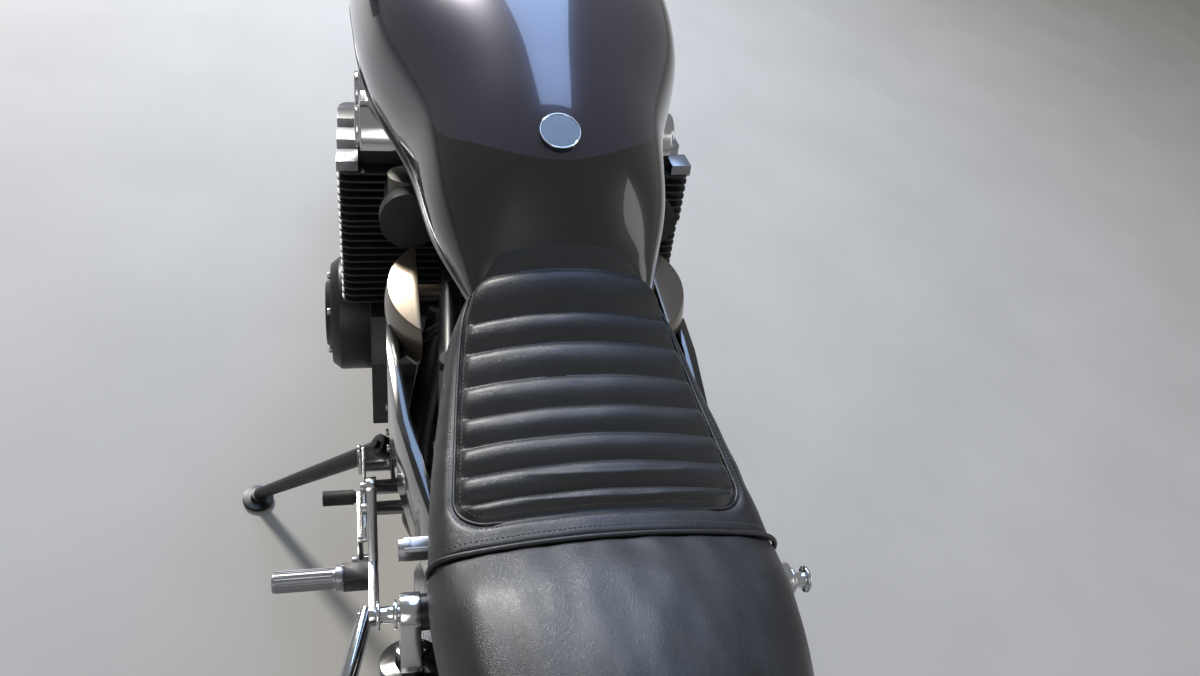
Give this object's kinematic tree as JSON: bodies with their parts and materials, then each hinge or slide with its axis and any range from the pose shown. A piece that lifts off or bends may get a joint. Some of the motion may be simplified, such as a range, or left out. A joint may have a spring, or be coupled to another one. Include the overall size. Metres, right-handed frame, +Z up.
{
  "type": "cafe racer motorcycle",
  "caption": "Cafe racer motorcycle parked on its side stand, with an open air-cooled engine, ribbed seat with a rear hump, twin shocks and clip-on bars.",
  "frame": {"origin": "on the ground, at the middle of the parked motorcycle's bounding box", "axes": "+X forward, +Y to the rider's left, +Z up from the ground"},
  "size_m": [2.0405, 0.6964, 1.0937],
  "materials": {
    "frame_black": "satin",
    "engine_black": "satin",
    "carburettor_alloy": "cast",
    "steel_pipe": "brushed",
    "tank_paint": "gloss",
    "polished_alloy": "polished",
    "badge": "gloss",
    "seat_leather": "grained",
    "gloss_black": "gloss",
    "bronze_paint": "satin",
    "satin_plastic": "satin",
    "lamp_red": "gloss",
    "swingarm_alloy": "brushed",
    "plain_steel": "zinc plated",
    "shock_paint": "gloss",
    "spring_steel": "gloss",
    "chain_steel": "oiled",
    "caliper_black": "satin",
    "footrest_alloy": "knurled",
    "satin_alloy": "satin",
    "chrome_tube": "polished",
    "grip_rubber": "ribbed",
    "wheel_black": "satin",
    "tyre_rubber": "treaded",
    "brake_steel": "ground",
    "lamp_glass": "clear"
  },
  "bodies": {
    "chassis": {"frame_spine": "frame_black", "frame_cradles": "frame_black", "frame_seat_rails": "frame_black", "crankcase": "engine_black", "engine_covers": "engine_black", "cylinder_block": "engine_black", "cylinder_head": "engine_black", "cam_cover": "polished_alloy", "carburettors": "carburettor_alloy", "exhaust_headers": "steel_pipe", "silencer": "steel_pipe", "fuel_tank": "tank_paint", "filler_cap": "polished_alloy", "tank_badge": "badge", "seat_pad": "seat_leather", "seat_hump": "seat_leather", "helmet_lock": "satin_alloy", "side_covers": "gloss_black", "cover_pods": "bronze_paint", "rear_mudguard": "satin_plastic", "tail_lamp": "lamp_red", "swingarm": "swingarm_alloy", "rear_axle": "plain_steel", "shock_bodies": "shock_paint", "shock_springs": "spring_steel", "drive_chain": "chain_steel", "chain_guard": "satin_plastic", "rear_brake": "caliper_black", "footrest_hangers": "polished_alloy", "footrests": "footrest_alloy", "foot_controls": "polished_alloy"},
    "steering": {"yokes": "satin_alloy", "fork_tubes": "chrome_tube", "fork_sliders": "satin_alloy", "front_axle": "plain_steel", "clip_ons": "frame_black", "grips": "grip_rubber", "headlamp": "gloss_black", "headlamp_lens": "lamp_glass", "instruments": "satin_plastic", "front_mudguard": "gloss_black", "front_calipers": "caliper_black"},
    "front_wheel": {"front_rim": "wheel_black", "front_tyre": "tyre_rubber", "front_discs": "brake_steel"},
    "rear_wheel": {"rear_rim": "wheel_black", "rear_tyre": "tyre_rubber", "rear_drive": "brake_steel"},
    "side_stand": {"side_stand": "frame_black"}
  },
  "joints": [
    {"name": "steering_turn", "type": "hinge", "parent": "chassis", "child": "steering", "pos_m": [0.71779, -0.04303, 0.27422], "axis": [-0.4263, 0.1412, 0.8935], "range_deg": [-60, 0]},
    {"name": "front_wheel_spin", "type": "hinge", "parent": "steering", "child": "front_wheel", "pos_m": [0.74825, -0.02155, 0.28536], "axis": [-0.4529, 0.8217, -0.346], "continuous": true},
    {"name": "rear_wheel_spin", "type": "hinge", "parent": "chassis", "child": "rear_wheel", "pos_m": [-0.70695, -0.03853, 0.30926], "axis": [-0.0007, 0.9877, -0.1564], "continuous": true},
    {"name": "side_stand_fold", "type": "hinge", "parent": "chassis", "child": "side_stand", "pos_m": [-0.05418, 0.13217, 0.25892], "axis": [-0.0209, 0.8487, 0.5285], "range_deg": [0, 96]}
  ]
}
